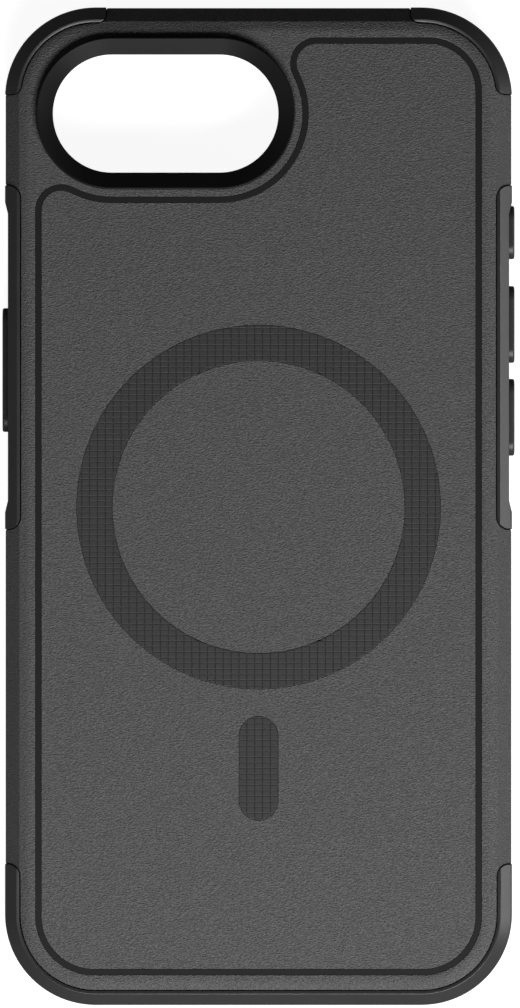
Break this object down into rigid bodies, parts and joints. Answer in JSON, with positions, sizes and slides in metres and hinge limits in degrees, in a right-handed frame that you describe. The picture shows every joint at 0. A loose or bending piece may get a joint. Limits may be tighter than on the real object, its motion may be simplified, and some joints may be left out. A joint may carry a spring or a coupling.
{
  "type": "phone case",
  "caption": "Two-layer protective phone case with a soft inner tub, a hard back shell, a raised camera bezel, a magnet ring and spring-back side buttons.",
  "frame": {"origin": "middle of the case on the plane that its front lip rests on", "axes": "+Z out of the back, +Y to the phone's top, +X to the side with the three buttons, which is the right side seen from the back"},
  "size_m": [0.0786, 0.1528, 0.0128],
  "materials": {
    "soft_tpu": "smooth satin soft plastic",
    "shell_plastic": "fine sand-grain texture",
    "bezel_plastic": "smooth satin",
    "line_inlay": "smooth matte",
    "grid_film": "fine raised grid",
    "adhesive": "thin clear film",
    "magnet": "nickel plated",
    "button_plastic": "smooth satin"
  },
  "bodies": {
    "root": {"soft_inner": "soft_tpu", "hard_shell": "shell_plastic", "camera_bezel": "bezel_plastic", "contour_inlay": "line_inlay", "ring_mark": "grid_film", "bar_mark": "grid_film", "ring_adhesive": "adhesive", "ring_magnets": "magnet", "bar_adhesive": "adhesive", "bar_magnet": "magnet", "power_web": "soft_tpu", "action_web": "soft_tpu", "volume_up_web": "soft_tpu", "volume_down_web": "soft_tpu"},
    "power_button": {"power_cap": "button_plastic", "power_nub": "soft_tpu"},
    "action_button": {"action_cap": "button_plastic", "action_nub": "soft_tpu"},
    "volume_up_button": {"volume_up_cap": "button_plastic", "volume_up_nub": "soft_tpu"},
    "volume_down_button": {"volume_down_cap": "button_plastic", "volume_down_nub": "soft_tpu"}
  },
  "joints": [
    {"name": "power_press", "type": "slide", "parent": "root", "child": "power_button", "axis": [1, 0, 0], "range_m": [0, 0.00045], "stiffness_N_per_m": 600, "deforming": ["power_web"]},
    {"name": "action_press", "type": "slide", "parent": "root", "child": "action_button", "axis": [-1, 0, 0], "range_m": [0, 0.00045], "stiffness_N_per_m": 600, "deforming": ["action_web"]},
    {"name": "volume_up_press", "type": "slide", "parent": "root", "child": "volume_up_button", "axis": [-1, 0, 0], "range_m": [0, 0.00045], "stiffness_N_per_m": 600, "deforming": ["volume_up_web"]},
    {"name": "volume_down_press", "type": "slide", "parent": "root", "child": "volume_down_button", "axis": [-1, 0, 0], "range_m": [0, 0.00045], "stiffness_N_per_m": 600, "deforming": ["volume_down_web"]}
  ]
}
